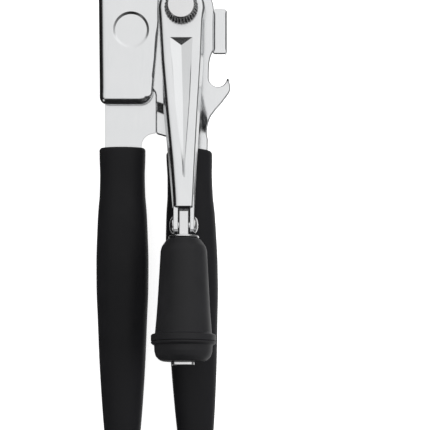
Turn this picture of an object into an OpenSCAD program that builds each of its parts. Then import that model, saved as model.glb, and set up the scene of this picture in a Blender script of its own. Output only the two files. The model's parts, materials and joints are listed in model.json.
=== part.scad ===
// Manual can opener with gear-driven cutter, long crank and folding knob.
// It lies on its back: +Y runs from the grips to the head, +X to the hook, +Z up
// through the crank. The origin is the middle of its box, on the surface it rests on.

/* [Arms] */
// Thickness of the stamped arms
plate_t = 2; // [1.6:0.2:2]
// Height of the arms' back faces above the resting surface
arm_back_z = 8.5; // [8.5:0.1:9]
// Step forward of the right arm above its tang
joggle_h = 2.4; // [2.4:0.1:2.6]

/* [Head] */
// X of the drive shaft's axis
drive_x = 8.1; // [8:0.1:8.2]
// Y of the drive shaft's axis
drive_y = 88.7; // [88.6:0.1:88.8]
// X of the cutter's axis, under the dimple
cutter_x = -13.6; // [-13.7:0.1:-13.5]
// Y of the cutter's axis, under the dimple
cutter_y = 80.1; // [80:0.1:80.2]
// Distance from the gears' pitch point to the handle pivot
pivot_reach = 17.6; // [17:0.1:18]
// Height of the head cover's front face
cover_top_z = 16.5; // [16.3:0.1:16.6]
// Sheet thickness of the head cover
cover_t = 1; // [0.8:0.1:1]

/* [Wheels] */
// Teeth on each of the two gears
gear_teeth = 18; // [18]
// Radius of the feed wheel's teeth
feed_r = 11.3; // [11:0.1:11.4]
// Radius of the cutter's edge
cutter_r = 13; // [12.8:0.1:13.1]

/* [Crank] */
// Height of the crank's front face at its boss
crank_top_z = 21.5; // [21.4:0.1:21.8]
// Sheet thickness of the crank
crank_t = 1.2; // [1:0.1:1.2]
// Angle by which the crank bends outward past its boss
crank_rise = 10; // [9:0.5:11]
// Distance along the crank from its bend to the fold pin
pin_reach = 82.9; // [82:0.1:84]

/* [Knob] */
// Radius of the knob's collar
collar_r = 13.3; // [13:0.1:13.6]
// Length from the fold pin to the end of the knob
knob_end = 56.2; // [56:0.1:57]

/* [Grips] */
// Half of a grip's greatest width
grip_half_w = 11.3; // [11:0.1:11.5]
// Half of a grip's greatest thickness
grip_half_t = 9.5; // [9.4:0.05:9.5]
// Lean of the right grip away from the left one
grip_lean = 1.28; // [1:0.02:1.4]

/* [Hidden] */
$fn = 64;

running = 0.05;                        // radial clearance of every turning fit
cut = 1;                               // overshoot of a cut past a face
steel = "gainsboro";
rubber = "#1b1b1d";

// Levels of the arms
mid_z = arm_back_z + plate_t / 2;
arm_front_z = arm_back_z + plate_t;
upper_back_z = arm_back_z + joggle_h;
upper_front_z = upper_back_z + plate_t;

// Gear train and pivot: the pivot lies square to the line of centres at the pitch point,
// so the gears part straight as the handles open
centre_d = norm([drive_x - cutter_x, drive_y - cutter_y]);
module_mm = centre_d / gear_teeth;
line_a = atan2(cutter_y - drive_y, cutter_x - drive_x);
pivot_x = (drive_x + cutter_x) / 2 - pivot_reach * cos(line_a + 90);
pivot_y = (drive_y + cutter_y) / 2 - pivot_reach * sin(line_a + 90);

// Levels of the wheels behind the arms
gear_front_z = arm_back_z - 0.2;
gear_back_z = gear_front_z - 2;
feed_back_z = gear_back_z - 2.2;
blade_front_z = feed_back_z - 0.2;
blade_back_z = blade_front_z - 1.8;
stud_head_z = 1.6;
nut_back_z = 0.1;

// Radii of pins and shafts
pivot_r = 3;
stud_r = 3.5;
shaft_r = 4;
shaft_back_r = 3.5;
thread_r = 2.5;
square_w = 5.5;
bushing_r = 6.5;

// Crank: its bend line, and the fold pin seen from that line
bend_y = drive_y - 10;
boss_r = 9.95;
flange_h = 3.6;
pin_drop = 4;
pin_x = 9.5;
pin_r = 1.6;
ear_r = 3.7;
face_end = 76;

// Knob, as distances from the fold pin along its axis
spindle_r = 2.5;
ferrule_at = 4.6;
knob_top = 5.8;
seam_at = 48;

// Handles
left_grip_x = -17.8;
right_grip_x = 11.15;
grip_top_y = 29.9;
right_grip_top_y = 29.3;
shoulder_x = -3.3;

// Points on an arc, from angle a0 to a1
function arc(c, r, a0, a1, n = 12) =
    [for (i = [0:n]) c + r * [cos(a0 + (a1 - a0) * i / n), sin(a0 + (a1 - a0) * i / n)]];

// Involute gear outline
function inv(r, rb) = let (t = sqrt(max(0, pow(r / rb, 2) - 1))) t * 180 / PI - atan(t);
function tooth_half_angle(r, rp, rb, half_pitch) =
    half_pitch + inv(rp, rb) - (r > rb ? inv(r, rb) : 0);
function gear_points(n, m, thin) =
    let (rp = n * m / 2, rb = rp * cos(20), ro = rp + 0.95 * m, ri = rp - 1.25 * m,
         half_pitch = 90 / n - thin / rp * 90 / PI,
         rs = [for (i = [0:4]) max(rb, ri) + (ro - max(rb, ri)) * i / 4])
    [for (k = [0:n - 1]) let (a = 360 * k / n)
        each concat(
            [ri * [cos(a - tooth_half_angle(rb, rp, rb, half_pitch)),
                   sin(a - tooth_half_angle(rb, rp, rb, half_pitch))]],
            [for (r = rs) let (h = tooth_half_angle(r, rp, rb, half_pitch))
                r * [cos(a - h), sin(a - h)]],
            [for (i = [4:-1:0]) let (r = rs[i], h = tooth_half_angle(r, rp, rb, half_pitch))
                r * [cos(a + h), sin(a + h)]],
            [ri * [cos(a + tooth_half_angle(rb, rp, rb, half_pitch)),
                   sin(a + tooth_half_angle(rb, rp, rb, half_pitch))]])];

function star_points(n, r_tip, r_root) =
    [for (i = [0:2 * n - 1]) (i % 2 == 0 ? r_tip : r_root) * [cos(180 * i / n), sin(180 * i / n)]];

// Quadrilateral along the outer tangents of two circles
function tangent_quad(c1, r1, c2, r2) =
    let (d = c2 - c1, a = atan2(d[1], d[0]), b = acos((r1 - r2) / norm(d)))
    [c1 + r1 * [cos(a + b), sin(a + b)], c1 + r1 * [cos(a - b), sin(a - b)],
     c2 + r2 * [cos(a - b), sin(a - b)], c2 + r2 * [cos(a + b), sin(a + b)]];

// A plate of the given outline between two levels
module slab(z0, z1) {
    translate([0, 0, z0]) linear_extrude(z1 - z0) children();
}

// A round piece between two levels on the axis through x, y
module post(x, y, r, z0, z1) {
    translate([x, y, z0]) cylinder(r = r, h = z1 - z0);
}

// A washer between two levels
module ring(x, y, r, bore, z0, z1) {
    difference() {
        post(x, y, r, z0, z1);
        post(x, y, bore, z0 - cut, z1 + cut);
    }
}

// Places children in the sloping part of the crank: local -Y runs along the arm
module on_slope() {
    translate([0, bend_y, crank_top_z]) rotate([-crank_rise, 0, 0]) children();
}

// Places children on the knob's axis: local -Y runs from the fold pin to the knob's end
module on_knob() {
    on_slope() translate([pin_x, -pin_reach, -pin_drop]) children();
}

// Turns a profile of radius against distance from the fold pin about the knob's axis
module knob_turned(profile) {
    on_knob() rotate([90, 0, 0]) rotate_extrude() polygon(profile);
}

// ---- arms ----

module left_tang_outline() {
    polygon([[-25.4, grip_top_y + 6], [-25.4, grip_top_y], [-23, 10], [-22.8, -95],
             [-12.8, -95], [-12.6, 10], [-9.5, grip_top_y], [-9.5, grip_top_y + 6]]);
}

module left_arm_outline() {
    notch_r = 5.6;
    union() {
        left_tang_outline();
        polygon(concat(
            [[-25.4, grip_top_y]],
            [[-9.5, grip_top_y]],
            arc([-9.5 + notch_r, grip_top_y + 0.5], notch_r, 180, 95, 8),
            [[shoulder_x, 36.2], [shoulder_x, 52.5]],
            arc([shoulder_x - 3, 52.5], 3, 0, 90, 6),
            [[-9, 57], [-9, 92], [-3, 96]],
            arc([-8, 105.3], 6, 0, 90, 8),
            arc([-20.5, 105.3], 6, 90, 180, 8),
            [[-26.5, 50], [-25.4, 50]]));
    }
}

module left_arm() {
    color(steel) difference() {
        slab(arm_back_z, arm_front_z) left_arm_outline();
        post(pivot_x, pivot_y, pivot_r, 0, 20);
        post(cutter_x, cutter_y, stud_r - 0.5, 0, 20);
    }
}

// Outline of the head cover, drawn in by a distance
module cover_outline(inset) {
    left = -27.5 + inset;
    low = 48.7 + inset;
    top = 112.4 - inset;
    corner = 4.2 - inset;
    polygon(concat(
        arc([left + 1.5, low + 1.5], 1.5, 180, 270, 4),
        arc([-4.4 - inset - corner, low + corner], corner, 270, 360, 8),
        [[-3.3 - inset, 67], [-2 - inset, 84], [-2 - inset, top - 5]],
        arc([-7 - inset, top - 5], 5, 0, 90, 8),
        arc([left + 5, top - 5], 5, 90, 180, 8)));
}

module head_cover() {
    dimple_r = 7.4;
    front = cover_top_z - cover_t;
    color(steel) difference() {
        union() {
            difference() {
                slab(arm_back_z, cover_top_z) cover_outline(0);
                slab(arm_back_z - cut, front) cover_outline(cover_t);
                // the right side stands open for the right arm
                translate([-8.6, 54, 0]) cube([10, 60, front]);
                // the skirt ends on the arm's front face below the head
                translate([-25.4, 40, 0]) cube([24, 16, arm_front_z]);
            }
            post(cutter_x, cutter_y, dimple_r + 0.6, front - cover_t, front);
        }
        post(cutter_x, cutter_y, dimple_r, front, cover_top_z + cut);
        post(pivot_x, pivot_y, pivot_r - 0.5, front - cut, cover_top_z + cut);
    }
}

module right_tang_outline() {
    polygon([[2.8, 33], [2.9, 28], [8.3, 10], [9.4, -93], [18.4, -93], [17.6, 10],
             [19.2, 28], [19.3, 33]]);
}

module right_arm_outline() {
    difference() {
        union() {
            right_tang_outline();
            translate([drive_x, drive_y]) circle(r = 13.85);
            translate([pivot_x, pivot_y]) circle(r = 7.5);
            polygon(tangent_quad([pivot_x, pivot_y], 7.5, [drive_x, drive_y], 13.85));
            polygon(concat(
                [[2.8, 32], [1.8, 34.2], [-1.2, 34.7]],
                arc([shoulder_x + 1.62, 36.2], 1.5, 270, 180, 4),
                [[shoulder_x + 0.12, 52.4], [shoulder_x - 0.3, 53.7], [-6, 55.5], [-6, 84],
                 [drive_x, drive_y], [21.75, 84], [21.75, 71.9]],
                arc([32, 63.5], 12.5, 144, 176, 4),
                [[19.5, 60], [27.54, 60.24], [28.19, 59.85]],
                arc([24.4, 56.1], 4.7, 25, -45, 6),
                [[22.8, 46.2], [21, 44.1]],
                arc([35, 36], 16.1, 150, 183, 5),
                [[19.3, 33.5], [19.3, 32]]));
        }
        // throat of the bottle opener
        translate([23.6, 59.9]) circle(r = 3.9);
        translate([23.6, 59.9]) square([3.9, 3]);
        translate([21.3, 60.5]) square([7, 4]);
    }
}

// The step between the tang and the raised plate, running at a slant
module joggle_profile() {
    rotate([0, 0, -17]) translate([-45, 0, 0]) rotate([90, 0, 90]) linear_extrude(90)
        polygon([[-150, arm_back_z], [43, arm_back_z], [47, upper_back_z], [140, upper_back_z],
                 [140, upper_front_z], [46.2, upper_front_z], [42.2, arm_front_z],
                 [-150, arm_front_z]]);
}

module right_arm() {
    tab = [27.6, 19.4, 1.6];
    tab_top = upper_front_z + 0.3;
    color(steel) difference() {
        union() {
            intersection() {
                slab(0, 20) right_arm_outline();
                joggle_profile();
            }
            // cap-rest tab: a leaf with its outer edge bent back
            translate([21, 70.1, tab_top - tab[2]])
                cube([tab[0] - 21 - tab[2], tab[1], tab[2]]);
            translate([tab[0] - tab[2], 70.1, 4.5]) cube([tab[2], tab[1], tab_top - 4.5 - tab[2]]);
            translate([tab[0] - tab[2], 70.1, tab_top - tab[2]]) rotate([-90, 0, 0])
                intersection() {
                    cylinder(r = tab[2], h = tab[1]);
                    translate([0, -tab[2], 0]) cube([tab[2], tab[2], tab[1]]);
                }
        }
        post(pivot_x, pivot_y, pivot_r + running, 0, 20);
        post(drive_x, drive_y, bushing_r - 1, 0, 20);
    }
}

// ---- grips ----

// Stations of a grip: distance below its top, half width, half thickness
function grip_stations() =
    [[0, 0.7, 0.6], [0.5, 0.8, 0.7], [1.2, 0.87, 0.77], [2.2, 0.885, 0.8], [5, 0.875, 0.8],
     [12, 0.858, 0.8],
     [20, 0.875, 0.83], [28, 0.93, 0.9], [38, 0.97, 0.96], [50, 1, 1], [60, 0.995, 1],
     [75, 0.945, 0.97], [92, 0.885, 0.92], [110, 0.79, 0.84], [124, 0.69, 0.76],
     [134, 0.6, 0.68], [138.5, 0.5, 0.58], [140.8, 0.36, 0.44], [141.7, 0.2, 0.24]];

// A closed loft through rounded-rectangle stations, running down from its top
module grip_body(sides = 40) {
    stations = grip_stations();
    count = len(stations);
    points = [for (s = stations, i = [0:sides - 1])
        let (a = 360 * i / sides, c = cos(a), d = sin(a))
        [grip_half_w * s[1] * sign(c) * pow(abs(c), 0.85), -s[0],
         grip_half_t * s[2] * sign(d) * pow(abs(d), 0.85)]];
    skin = [for (k = [0:count - 2], i = [0:sides - 1])
        let (p = k * sides, j = (i + 1) % sides)
        each [[p + i, p + j, p + sides + j], [p + i, p + sides + j, p + sides + i]]];
    ends = [[for (i = [sides - 1:-1:0]) i], [for (i = [0:sides - 1]) (count - 1) * sides + i]];
    polyhedron(points, concat(skin, ends), convexity = 4);
}

module left_grip() {
    color(rubber) difference() {
        translate([left_grip_x, grip_top_y, mid_z]) grip_body();
        slab(arm_back_z, arm_front_z) left_tang_outline();
    }
}

module right_grip() {
    color(rubber) difference() {
        translate([right_grip_x, right_grip_top_y, mid_z]) rotate([0, 0, grip_lean]) grip_body();
        slab(arm_back_z, arm_front_z) right_tang_outline();
    }
}

// ---- head hardware ----

module pivot_rivet() {
    front = cover_top_z - cover_t;
    color(steel) union() {
        post(pivot_x, pivot_y, 5, arm_back_z - 1.2, arm_back_z);
        post(pivot_x, pivot_y, pivot_r, arm_back_z, upper_front_z + 0.1);
        post(pivot_x, pivot_y, 4.5, upper_front_z + 0.1, front);
        post(pivot_x, pivot_y, pivot_r - 0.5, front, cover_top_z);
        post(pivot_x, pivot_y, 4.2, cover_top_z, cover_top_z + 0.7);
    }
}

module pivot_washer() {
    color(steel) ring(pivot_x, pivot_y, 6, pivot_r, arm_front_z, upper_back_z);
}

module cutter_stud() {
    color(steel) union() {
        post(cutter_x, cutter_y, 6.5, 0, stud_head_z);
        post(cutter_x, cutter_y, stud_r, stud_head_z, arm_back_z);
        post(cutter_x, cutter_y, stud_r - 0.5, arm_back_z, arm_front_z);
        post(cutter_x, cutter_y, 5, arm_front_z, arm_front_z + 1.5);
    }
}

module cutter_washer() {
    color(steel) ring(cutter_x, cutter_y, 5.5, stud_r, stud_head_z, blade_back_z - 0.02);
}

module gear(x, y, bore, turn) {
    difference() {
        translate([x, y, gear_back_z]) rotate([0, 0, turn]) linear_extrude(gear_front_z - gear_back_z)
            polygon(gear_points(gear_teeth, module_mm, 0.12));
        post(x, y, bore, 0, 20);
    }
}

module cutter_gear() {
    color(steel) gear(cutter_x, cutter_y, stud_r + running, line_a + 180 + 180 / gear_teeth);
}

// Round blade: flat towards the feed wheel, ground away behind the edge
module cutter_wheel() {
    bore = stud_r + running;
    edge_z = blade_front_z - 0.7;
    color(steel) translate([cutter_x, cutter_y, 0]) rotate_extrude()
        polygon([[bore, blade_back_z], [cutter_r - 2.6, blade_back_z], [cutter_r, edge_z],
                 [cutter_r - 1.6, blade_front_z], [5.5, blade_front_z], [5.5, gear_back_z],
                 [bore, gear_back_z]]);
}

module drive_bushing() {
    color(steel) difference() {
        union() {
            post(drive_x, drive_y, bushing_r, arm_back_z + 0.1, upper_back_z);
            post(drive_x, drive_y, bushing_r - 1, upper_back_z, upper_front_z);
            post(drive_x, drive_y, bushing_r + 1, upper_front_z, upper_front_z + 1.4);
            post(drive_x, drive_y, bushing_r, upper_front_z + 1.4, cover_top_z + 0.9);
        }
        post(drive_x, drive_y, shaft_r + running, 0, 30);
    }
}

module drive_shaft() {
    seat = crank_top_z - crank_t;
    color(steel) union() {
        post(drive_x, drive_y, thread_r, 0.6, feed_back_z);
        post(drive_x, drive_y, shaft_back_r, feed_back_z, gear_front_z);
        post(drive_x, drive_y, shaft_r, gear_front_z, seat);
        translate([drive_x - square_w / 2, drive_y - square_w / 2, seat])
            cube([square_w, square_w, crank_t]);
        post(drive_x, drive_y, thread_r, crank_top_z, crank_top_z + 5.5);
    }
}

module drive_gear() {
    color(steel) gear(drive_x, drive_y, shaft_back_r, line_a);
}

module feed_wheel() {
    color(steel) difference() {
        translate([drive_x, drive_y, feed_back_z]) linear_extrude(gear_back_z - feed_back_z)
            polygon(star_points(26, feed_r, feed_r - 1));
        post(drive_x, drive_y, shaft_back_r, 0, 20);
    }
}

module feed_nut() {
    color(steel) difference() {
        translate([drive_x, drive_y, nut_back_z])
            cylinder(r = 5.8, h = feed_back_z - nut_back_z, $fn = 6);
        post(drive_x, drive_y, thread_r, 0, 20);
    }
}

// ---- crank ----

module crank_spacer() {
    color(steel) ring(drive_x, drive_y, bushing_r, shaft_r, cover_top_z + 1, crank_top_z - crank_t);
}

// Outline of the sloping channel, drawn in by a distance
module slope_outline(inset, from_y, to_y) {
    polygon([[-1.15 + inset, from_y], [0.87 + inset, -30.3], [3.96 + inset, -66.3],
             [5.2 + inset, -80], [5.2 + inset, to_y], [13.8 - inset, to_y], [13.8 - inset, -80],
             [14.6 - inset, -66.3], [16.7 - inset, -30.3], [17.6 - inset, from_y]]);
}

// Boss with the flat stretch down to the bend
module boss_outline(inset) {
    union() {
        translate([drive_x, drive_y]) circle(r = boss_r - inset);
        polygon([[-1.15 + inset, bend_y - 0.8], [-1.7 + inset, drive_y - 1.5],
                 [17.9 - inset, drive_y - 1.5], [17.6 - inset, bend_y - 0.8]]);
    }
}

module slope_channel() {
    difference() {
        intersection() {
            translate([0, 0, -12]) linear_extrude(12) slope_outline(0, 0, -pin_reach - ear_r);
            rotate([90, 0, 90]) linear_extrude(30, center = true)
                polygon(concat([[0, 0], [-pin_reach + 2, 0]],
                               arc([-pin_reach, -pin_drop], ear_r, 80, 270, 16),
                               [[-60, -5.4], [0, -flange_h]]));
        }
        translate([0, 0, -12]) linear_extrude(12 - crank_t)
            slope_outline(crank_t, 1, -pin_reach - 10);
        translate([5.2 + crank_t, -pin_reach - 10, -12])
            cube([8.6 - 2 * crank_t, pin_reach + 10 - face_end, 13]);
        translate([-5, -pin_reach, -pin_drop]) rotate([0, 90, 0]) cylinder(r = pin_r, h = 30);
    }
}

module crank_arm() {
    color(steel) difference() {
        union() {
            difference() {
                slab(crank_top_z - flange_h, crank_top_z) boss_outline(0);
                slab(crank_top_z - flange_h - cut, crank_top_z - crank_t) boss_outline(crank_t);
                // the boss opens into the sloping channel
                translate([-1.15 + crank_t, bend_y - 2, crank_top_z - flange_h - cut])
                    cube([18.75 - 2 * crank_t, 3, flange_h + cut - crank_t]);
            }
            on_slope() slope_channel();
        }
        translate([drive_x - square_w / 2, drive_y - square_w / 2, crank_top_z - 3])
            cube([square_w, square_w, 5]);
    }
}

module crank_nut() {
    base_r = 7.1;
    top_r = 5.45;
    height = 7.5;
    color(steel) difference() {
        intersection() {
            translate([drive_x, drive_y, crank_top_z]) linear_extrude(height)
                polygon(star_points(36, base_r, base_r - 0.35));
            translate([drive_x, drive_y, crank_top_z]) rotate_extrude()
                polygon([[0, 0], [base_r + 0.1, 0], [base_r + 0.1, height * 0.55],
                         [top_r + 0.5, height - 0.5], [top_r, height], [0, height]]);
        }
        post(drive_x, drive_y, thread_r, crank_top_z - cut, crank_top_z + 5.5);
    }
}

module fold_pin() {
    head_t = 1.7;
    span = 8.6;
    color(steel) on_slope() translate([pin_x - span / 2, -pin_reach, -pin_drop]) rotate([0, 90, 0])
        rotate_extrude() polygon(concat(
            [[0, -head_t], [1.6, -head_t + 0.25], [2.9, -head_t + 0.9], [3.6, 0], [pin_r, 0],
             [pin_r, span], [3.6, span], [2.9, span + head_t - 0.9], [1.6, span + head_t - 0.25],
             [0, span + head_t]]));
}

// ---- folding knob ----

module knob_tang() {
    strap = [4, 6.3, 2.4];
    color(steel) on_knob() difference() {
        union() {
            translate([-strap[0] / 2, -ferrule_at, -strap[2]])
                cube([strap[0], ferrule_at + strap[1] - strap[2], 2 * strap[2]]);
            translate([-strap[0] / 2, strap[1] - strap[2], 0]) rotate([0, 90, 0])
                cylinder(r = strap[2], h = strap[0]);
            translate([0, -ferrule_at, 0]) rotate([90, 0, 0])
                cylinder(r = spindle_r, h = knob_end + 0.1 - ferrule_at);
            translate([0, -knob_end - 0.1, 0]) rotate([90, 0, 0]) cylinder(r = 1.6, h = 1);
        }
        translate([-5, 0, 0]) rotate([0, 90, 0]) cylinder(r = pin_r + running, h = 10);
    }
}

module knob_ferrule() {
    color(steel) knob_turned([[spindle_r, ferrule_at], [6.3, ferrule_at], [6.35, ferrule_at + 0.3],
                              [6.35, knob_top - 0.2], [spindle_r, knob_top - 0.2]]);
}

module crank_knob() {
    bore = spindle_r + running;
    color(rubber) knob_turned([[bore, knob_top], [6.6, knob_top], [7.4, 6.5], [9.2, 9.2],
                               [9.6, 11], [10, 18.7], [10.9, 35.2], [11.5, 43.6], [11.7, 44.8],
                               [collar_r - 0.7, 45.2], [collar_r, 45.9], [collar_r, seam_at],
                               [bore, seam_at]]);
}

module knob_end_cap() {
    bore = spindle_r + running;
    color(rubber) knob_turned([[bore, seam_at + 0.1], [collar_r - 0.15, seam_at + 0.1],
                               [collar_r, seam_at + 0.3], [collar_r, 48.8],
                               [collar_r - 0.6, 49.4], [11.9, 49.7], [11.8, 52.2], [11.2, 54.2],
                               [9.6, 55.8], [8.6, knob_end], [bore, knob_end]]);
}

module knob_end_washer() {
    color(steel) knob_turned([[1.6, knob_end + 0.1], [4.8, knob_end + 0.1], [4.8, knob_end + 0.8],
                              [4.4, knob_end + 1.1], [1.6, knob_end + 1.1]]);
}

left_arm();
head_cover();
left_grip();
pivot_rivet();
pivot_washer();
cutter_stud();
cutter_washer();
cutter_gear();
cutter_wheel();
right_arm();
right_grip();
drive_bushing();
drive_shaft();
drive_gear();
feed_wheel();
feed_nut();
crank_spacer();
crank_arm();
crank_nut();
fold_pin();
knob_tang();
knob_ferrule();
crank_knob();
knob_end_cap();
knob_end_washer();
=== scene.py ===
import json
import math

import bmesh
import bpy
from mathutils import Matrix, Vector


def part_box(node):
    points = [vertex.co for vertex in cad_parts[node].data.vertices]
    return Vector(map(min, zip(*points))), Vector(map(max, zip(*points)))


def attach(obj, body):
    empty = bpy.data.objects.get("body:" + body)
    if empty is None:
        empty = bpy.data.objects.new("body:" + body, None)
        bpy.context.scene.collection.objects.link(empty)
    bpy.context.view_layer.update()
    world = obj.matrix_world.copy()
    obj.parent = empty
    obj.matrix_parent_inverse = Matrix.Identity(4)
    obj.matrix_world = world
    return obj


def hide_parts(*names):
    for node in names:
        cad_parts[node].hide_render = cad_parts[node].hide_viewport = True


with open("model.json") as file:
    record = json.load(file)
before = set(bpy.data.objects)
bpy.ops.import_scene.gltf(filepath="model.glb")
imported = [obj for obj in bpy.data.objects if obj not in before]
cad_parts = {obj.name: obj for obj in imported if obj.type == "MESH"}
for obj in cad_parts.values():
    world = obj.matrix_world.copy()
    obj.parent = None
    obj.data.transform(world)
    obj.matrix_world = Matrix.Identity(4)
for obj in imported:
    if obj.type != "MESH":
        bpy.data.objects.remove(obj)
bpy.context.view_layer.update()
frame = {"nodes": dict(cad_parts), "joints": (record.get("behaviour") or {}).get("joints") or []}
scene = bpy.context.scene
MM = 0.001

# ---------------------------------------------------------------- driving dimensions, in mm

JOINTS = {joint["name"]: joint for joint in frame["joints"]}


def at_joint(name):
    return Vector(JOINTS[name]["pos_m"]) / MM


def cad_box(node):
    low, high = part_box(node)
    return low / MM, high / MM


DRIVE = at_joint("crank_spin")
CUTTER = at_joint("cutter_spin")
PIVOT = at_joint("handle_pivot")
PIN = at_joint("knob_fold")
KNOB_AXIS = Vector(JOINTS["knob_spin"]["axis"]).normalized()
RISE = math.asin(KNOB_AXIS.z)

ARM_TOP = cad_box("left_arm")[1].z
ARM_T = 2.0
UPPER_TOP = ARM_TOP + 2.4
COVER_LOW, COVER_HIGH = cad_box("head_cover")
COVER_TOP = COVER_HIGH.z
SHEET = 1.2
CRANK_TOP = cad_box("crank_nut")[0].z
BEND_Y = DRIVE.y - 10
PIN_REACH = 82.9
PIN_DROP = 4.0
LEFT_GRIP_X = -17.8
GRIP_TOP_Y = 29.9
RIGHT_GRIP_X = 11.15
RIGHT_GRIP_TOP_Y = 29.3
GRIP_LEAN = math.radians(1.28)
MID_Z = ARM_TOP - ARM_T / 2

# ---------------------------------------------------------------- small geometry helpers


def smooth(t):
    t = min(1.0, max(0.0, t))
    return t * t * (3 - 2 * t)


def along(table, t):
    """Straight interpolation through (t, value) pairs."""
    if t <= table[0][0]:
        return table[0][1]
    for (t0, v0), (t1, v1) in zip(table, table[1:]):
        if t <= t1:
            return v0 + (v1 - v0) * (t - t0) / (t1 - t0)
    return table[-1][1]


def flowing(table, t):
    """Smooth interpolation through (t, value) pairs, without overshoot."""
    if t <= table[0][0]:
        return table[0][1]
    if t >= table[-1][0]:
        return table[-1][1]
    slopes = [(b[1] - a[1]) / (b[0] - a[0]) for a, b in zip(table, table[1:])]
    rates = [slopes[0]]
    for left, right in zip(slopes, slopes[1:]):
        rates.append(0.0 if left * right <= 0 else 2 * left * right / (left + right))
    rates.append(slopes[-1])
    for k, ((t0, v0), (t1, v1)) in enumerate(zip(table, table[1:])):
        if t <= t1:
            h = t1 - t0
            u = (t - t0) / h
            return ((2 * u ** 3 - 3 * u ** 2 + 1) * v0 + (u ** 3 - 2 * u ** 2 + u) * h * rates[k]
                    + (3 * u ** 2 - 2 * u ** 3) * v1 + (u ** 3 - u ** 2) * h * rates[k + 1])


def steps(start, end, count):
    return [start + (end - start) * k / count for k in range(count + 1)]


def arc(x, y, r, a0, a1, count=10):
    """Points on an arc, with its angles in degrees."""
    return [(x + r * math.cos(math.radians(a)), y + r * math.sin(math.radians(a)))
            for a in steps(a0, a1, count)]


def resample(points, longest):
    """Splits the long sides of a closed outline."""
    out = []
    for (x0, y0), (x1, y1) in zip(points, points[1:] + points[:1]):
        count = max(1, math.ceil(math.hypot(x1 - x0, y1 - y0) / longest))
        out += [(x0 + (x1 - x0) * k / count, y0 + (y1 - y0) * k / count) for k in range(count)]
    return out


def inward(points):
    """Unit normals that point into a closed anticlockwise outline."""
    out = []
    for k in range(len(points)):
        x0, y0 = points[k - 1]
        x1, y1 = points[(k + 1) % len(points)]
        size = math.hypot(x1 - x0, y1 - y0)
        out.append((-(y1 - y0) / size, (x1 - x0) / size))
    return out


def strip(bm, first, second, closed=False):
    """Quads between two rows of vertices."""
    count = len(first)
    for k in range(count if closed else count - 1):
        j = (k + 1) % count
        corners = []
        for v in (first[k], first[j], second[j], second[k]):
            if v not in corners:
                corners.append(v)
        if len(corners) > 2:
            bm.faces.new(corners)


def add_object(name, data):
    obj = bpy.data.objects.new(name, data)
    scene.collection.objects.link(obj)
    return obj


def settle(obj):
    """Applies every modifier of an object to its mesh."""
    graph = bpy.context.evaluated_depsgraph_get()
    mesh = bpy.data.meshes.new_from_object(obj.evaluated_get(graph))
    obj.modifiers.clear()
    obj.data = mesh
    return mesh


def publish(bm, name, body, finish, replaces=(), wall=0.0, bevel=0.0, segments=3, sharp=38,
            bevel_from=48, orient=True):
    """Turns a bmesh in millimetres into a finished piece on a body. wall is a sheet's thickness;
    edges sharper than bevel_from degrees get the bevel, and those over sharp stay sharp."""
    material, slot = finish
    if orient:
        bmesh.ops.recalc_face_normals(bm, faces=bm.faces)
    bmesh.ops.scale(bm, vec=(MM, MM, MM), verts=bm.verts)
    mesh = bpy.data.meshes.new(name)
    bm.to_mesh(mesh)
    bm.free()
    obj = add_object(name, mesh)
    mesh.materials.append(material)
    mesh.shade_smooth()
    if wall:
        mod = obj.modifiers.new("wall", "SOLIDIFY")
        mod.thickness = wall * MM
        mod.offset = -1
        mod.use_even_offset = True
    if bevel:
        mod = obj.modifiers.new("edges", "BEVEL")
        mod.width = bevel * MM
        mod.segments = segments
        mod.limit_method = "ANGLE"
        mod.angle_limit = math.radians(bevel_from)
        mod.miter_outer = "MITER_ARC"
    if obj.modifiers:
        mesh = settle(obj)
    mesh.set_sharp_from_angle(angle=math.radians(sharp))
    mod = obj.modifiers.new("normals", "WEIGHTED_NORMAL")
    mod.keep_sharp = True
    mod.weight = 60
    settle(obj)
    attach(obj, body)
    if replaces:
        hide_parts(*replaces)
    return obj


def refine(node, body, finish, bevel):
    """A CAD node's own shape with merged flats and softened edges."""
    bm = bmesh.new()
    bm.from_mesh(frame["nodes"][node].data)
    bmesh.ops.scale(bm, vec=(1 / MM,) * 3, verts=bm.verts)
    bmesh.ops.remove_doubles(bm, verts=bm.verts, dist=0.003)
    bmesh.ops.dissolve_limit(bm, angle_limit=math.radians(1), verts=bm.verts, edges=bm.edges)
    publish(bm, node + "_finished", body, finish, (node,), bevel=bevel, segments=2, sharp=36,
            bevel_from=30)


def turned(profile, origin, axis, name, body, finish, replaces=(), sides=96, ridges=None,
           sharp=38, closed=True):
    """A turned piece: (radius, distance along the axis) pairs about an axis through a point.
    ridges is a function of (ring number, angle) that adds to the radius. A closed profile with
    no point on the axis makes a ring."""
    axis = Vector(axis).normalized()
    side = axis.cross(Vector((0, 0, 1)) if abs(axis.z) < 0.9 else Vector((1, 0, 0))).normalized()
    up = axis.cross(side)
    origin = Vector(origin)
    bm = bmesh.new()
    rows = []
    for k, (r, d) in enumerate(profile):
        if r < 1e-6:
            rows.append([bm.verts.new(origin + axis * d)] * sides)
            continue
        row = []
        for i in range(sides):
            a = 2 * math.pi * i / sides
            out = side * math.cos(a) + up * math.sin(a)
            radius = r + (ridges(k, a) if ridges else 0)
            row.append(bm.verts.new(origin + axis * d + out * radius))
        rows.append(row)
    for first, second in zip(rows, rows[1:]):
        strip(bm, first, second, closed=True)
    if closed and rows[0][0] != rows[0][1] and rows[-1][0] != rows[-1][1]:
        strip(bm, rows[-1], rows[0], closed=True)
    return publish(bm, name, body, finish, replaces, sharp=sharp)


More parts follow.
